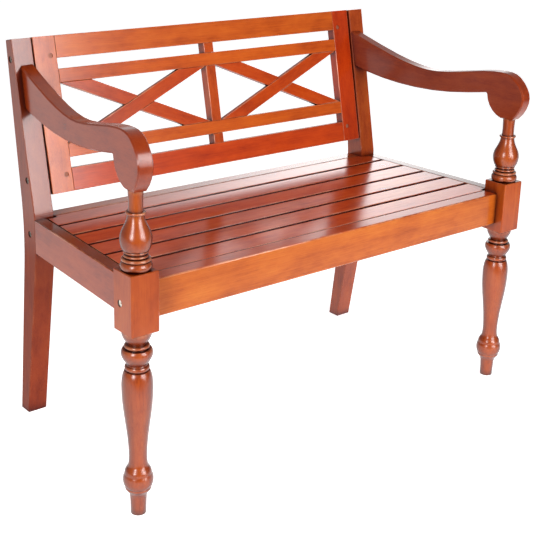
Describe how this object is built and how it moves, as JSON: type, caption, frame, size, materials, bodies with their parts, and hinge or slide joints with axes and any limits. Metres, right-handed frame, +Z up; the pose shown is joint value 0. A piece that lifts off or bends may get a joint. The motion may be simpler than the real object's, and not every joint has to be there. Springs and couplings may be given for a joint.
{
  "type": "bench",
  "caption": "Two-seat wooden bench with turned front legs, curved scroll arms, a slatted seat and a crossed lattice back, in glossy reddish varnish.",
  "frame": {"origin": "bottom centre of the bounding box, on the floor under the middle of the bench", "axes": "+X to the bench's right along its length as seen from in front, +Y to its back, +Z up; its front faces -Y"},
  "size_m": [0.98, 0.5078, 0.765],
  "materials": {
    "varnished_wood": "glossy reddish brown varnish over plain-sawn hardwood",
    "hidden_wood": "thin stain, sawn",
    "zinc_steel": "bright zinc plate"
  },
  "bodies": {
    "root": {"arm_left": "varnished_wood", "arm_right": "varnished_wood", "back_stile_left": "varnished_wood", "back_stile_right": "varnished_wood", "barrel_nuts": "zinc_steel", "bottom_rail": "varnished_wood", "centre_muntin": "varnished_wood", "connector_bolts": "zinc_steel", "crest_rail": "varnished_wood", "falling_brace_left": "varnished_wood", "falling_brace_right": "varnished_wood", "front_leg_left": "varnished_wood", "front_leg_right": "varnished_wood", "front_rail": "varnished_wood", "lower_inner_rail": "varnished_wood", "rear_post_left": "varnished_wood", "rear_post_right": "varnished_wood", "rear_rail": "varnished_wood", "rising_brace_left": "varnished_wood", "rising_brace_right": "varnished_wood", "seat_bearer": "hidden_wood", "seat_cleat_left": "hidden_wood", "seat_cleat_right": "hidden_wood", "seat_slat_1": "varnished_wood", "seat_slat_2": "varnished_wood", "seat_slat_3": "varnished_wood", "seat_slat_4": "varnished_wood", "seat_slat_5": "varnished_wood", "seat_slat_6": "varnished_wood", "side_rail_left": "varnished_wood", "side_rail_right": "varnished_wood", "upper_inner_rail": "varnished_wood"}
  },
  "joints": []
}
